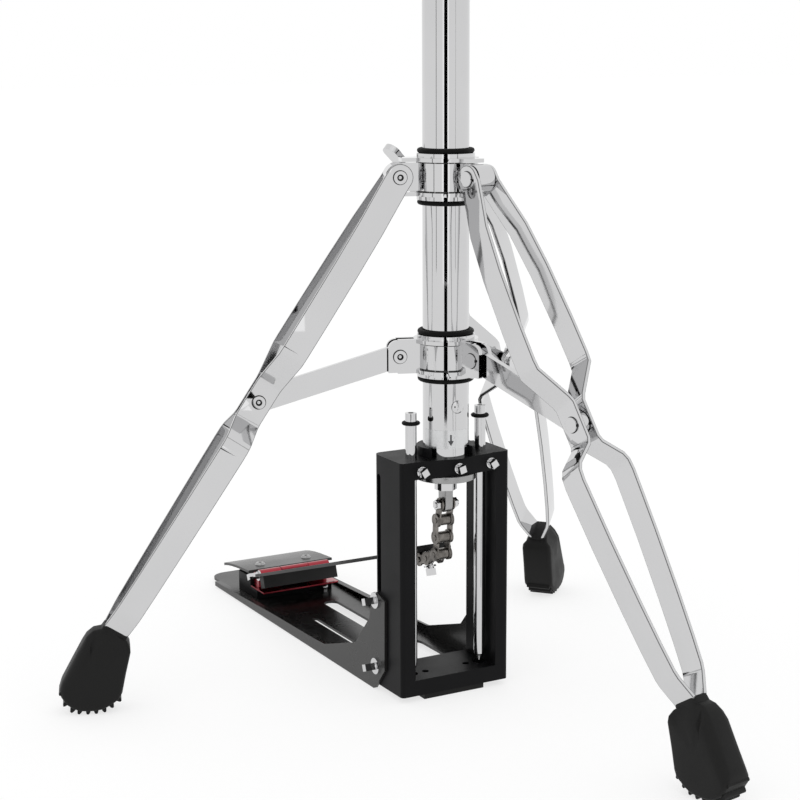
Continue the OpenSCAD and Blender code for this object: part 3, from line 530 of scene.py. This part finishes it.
def add_label():
    """The plain label on the tube, with an arrow that points down."""
    mesh = bmesh.new()
    tube_patch(mesh, [(LABEL_AZIMUTH + a, LABEL_LOW, LABEL_HIGH) for a in LABEL_SPREAD], LABEL_RADIUS)
    label = as_object("tube_label", mesh, STICKER, 60)
    mesh = bmesh.new()
    stem = [(ARROW_AZIMUTH + a, ARROW_BARB - 0.1, ARROW_TOP) for a in (-2.2, 0, 2.2)]
    head = [(ARROW_AZIMUTH + a, ARROW_TIP + abs(a) * ARROW_HEAD_SLOPE, ARROW_BARB)
            for a in ARROW_HEAD_SPREAD]
    tube_patch(mesh, stem, ARROW_RADIUS)
    tube_patch(mesh, head, ARROW_RADIUS)
    arrow = as_object("tube_label_arrow", mesh, STICKER_PRINT, 60)
    for piece in (label, arrow):
        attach(piece, "base")


# ---------------------------------------------------------------- stage
def emission(name, colour, strength):
    material, tree, links = new_material(name)
    tree.remove(tree["Principled BSDF"])
    glow = tree.new("ShaderNodeEmission")
    glow.inputs["Color"].default_value = (*colour, 1)
    glow.inputs["Strength"].default_value = strength
    links.new(glow.outputs["Emission"], tree["Material Output"].inputs["Surface"])
    return material


def plane(name, width, height, material):
    mesh = bpy.data.meshes.new(name)
    x, y = width / 2, height / 2
    mesh.from_pydata([(-x, -y, 0), (x, -y, 0), (x, y, 0), (-x, y, 0)], [], [(0, 1, 2, 3)])
    mesh.materials.append(material)
    obj = bpy.data.objects.new(name, mesh)
    scene.collection.objects.link(obj)
    return obj


def add_floor():
    """White paper: part lit by the room, part of its own, so that shadows on it stay faint."""
    material, tree, links = new_material("white floor")
    shader = tree["Principled BSDF"]
    shader.inputs["Base Color"].default_value = (0.3, 0.3, 0.3, 1)
    shader.inputs["Roughness"].default_value = 1.0
    shader.inputs["Specular IOR Level"].default_value = 0.0
    shader.inputs["Emission Color"].default_value = (1, 1, 1, 1)
    shader.inputs["Emission Strength"].default_value = 0.71
    plane("floor", 30, 30, material)


def glossy_only(obj):
    for ray in ("camera", "diffuse", "shadow", "transmission", "volume_scatter"):
        setattr(obj, "visible_" + ray, False)


def floor_wedge(name, start, end, near, far, strength):
    """A flat sector of the floor that only reflections show, between two azimuths."""
    mesh = bpy.data.meshes.new(name)
    corners = []
    for azimuth, r in ((start, near), (start, far), (end, far), (end, near)):
        a = math.radians(azimuth)
        corners.append((r * math.sin(a), -r * math.cos(a), 0.0004))
    mesh.from_pydata(corners, [], [(0, 1, 2, 3)])
    mesh.materials.append(emission(name, (1, 1, 1), strength))
    obj = bpy.data.objects.new(name, mesh)
    scene.collection.objects.link(obj)
    glossy_only(obj)


def card(name, azimuth, distance, width, low, high, strength):
    """A tall panel round the stand that only its reflections show."""
    obj = plane(name, width, high - low, emission(name, (1, 1, 1), strength))
    a = math.radians(azimuth)
    obj.matrix_world = (
        Matrix.Translation((distance * math.sin(a), -distance * math.cos(a), (low + high) / 2))
        @ Matrix.Rotation(a, 4, "Z") @ Matrix.Rotation(math.radians(90), 4, "X"))
    glossy_only(obj)


def area_light(name, position, size, power):
    data = bpy.data.lights.new(name, "AREA")
    data.size = size
    data.energy = power
    light = bpy.data.objects.new(name, data)
    light.location = position
    light.rotation_euler = (-Vector(position)).to_track_quat("-Z", "Y").to_euler()
    scene.collection.objects.link(light)


def add_world():
    world = bpy.data.worlds.new("studio")
    world.use_nodes = True
    world.node_tree.nodes["Background"].inputs["Color"].default_value = (1, 1, 1, 1)
    world.node_tree.nodes["Background"].inputs["Strength"].default_value = 1.0
    scene.world = world
    scene.view_settings.view_transform = "Standard"


# Name, degrees from the camera's azimuth, distance, width, bottom, top, brightness.
CARDS = [
    ("dark strip", 0, 2.2, 0.62, 0.0, 0.7, 0.0),
    ("bright strip left", -11.5, 2.2, 0.26, 0.0, 3.2, 1.3),
    ("bright strip right", 11.5, 2.2, 0.26, 0.0, 3.2, 1.3),
    ("dim side left", -47, 2.4, 0.14, 0.0, 2.6, 0.3),
    ("dim side right", 47, 2.4, 0.14, 0.0, 2.6, 0.3),
]
WEDGE_HALF_ANGLE, WEDGE_NEAR, WEDGE_FAR = 7.5, 0.95, 2.2


def add_stage():
    add_world()
    add_floor()
    for name, turn, *place in CARDS:
        card(name, CAMERA_AZIMUTH + turn, *place)
    floor_wedge("dark floor strip", CAMERA_AZIMUTH - WEDGE_HALF_ANGLE, CAMERA_AZIMUTH + WEDGE_HALF_ANGLE,
                WEDGE_NEAR, WEDGE_FAR, 0.0)
    area_light("key", (0.6, 1.2, 2.2), 1.6, 0.7)


add_camera()
paint_nodes()
soften_nodes()
add_feet()
add_rivets()
add_collar_shade_lines()
add_return_spring()
add_label()
add_stage()
